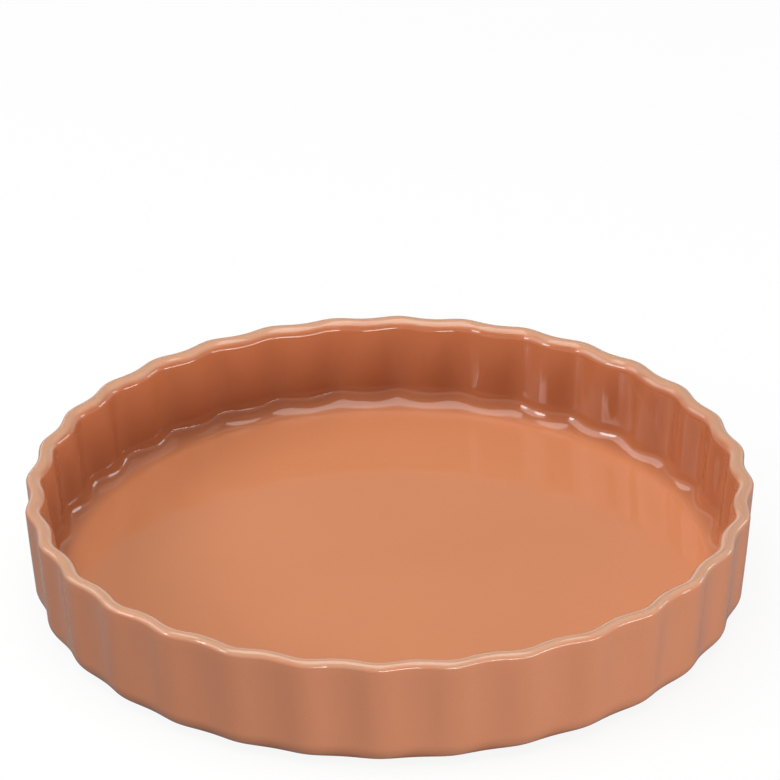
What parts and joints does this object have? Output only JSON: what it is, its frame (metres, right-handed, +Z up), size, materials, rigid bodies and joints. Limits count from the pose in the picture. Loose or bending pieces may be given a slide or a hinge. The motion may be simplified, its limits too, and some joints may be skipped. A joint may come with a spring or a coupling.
{
  "type": "fluted quiche dish",
  "caption": "Round shallow baking dish with a fluted upright wall, a rounded lip, a flat glazed floor and a bare foot ring.",
  "frame": {"origin": "centre of the footprint, on the surface that the dish stands on", "axes": "+Z up along the dish's axis, out of its open side; +X through the crest of one flute"},
  "size_m": [0.28, 0.28, 0.045],
  "materials": {
    "bare_clay": "matte",
    "terracotta_glaze": "gloss"
  },
  "bodies": {
    "root": {"stoneware_body": "bare_clay", "glaze_coat": "terracotta_glaze", "base_glaze": "terracotta_glaze"}
  },
  "joints": []
}
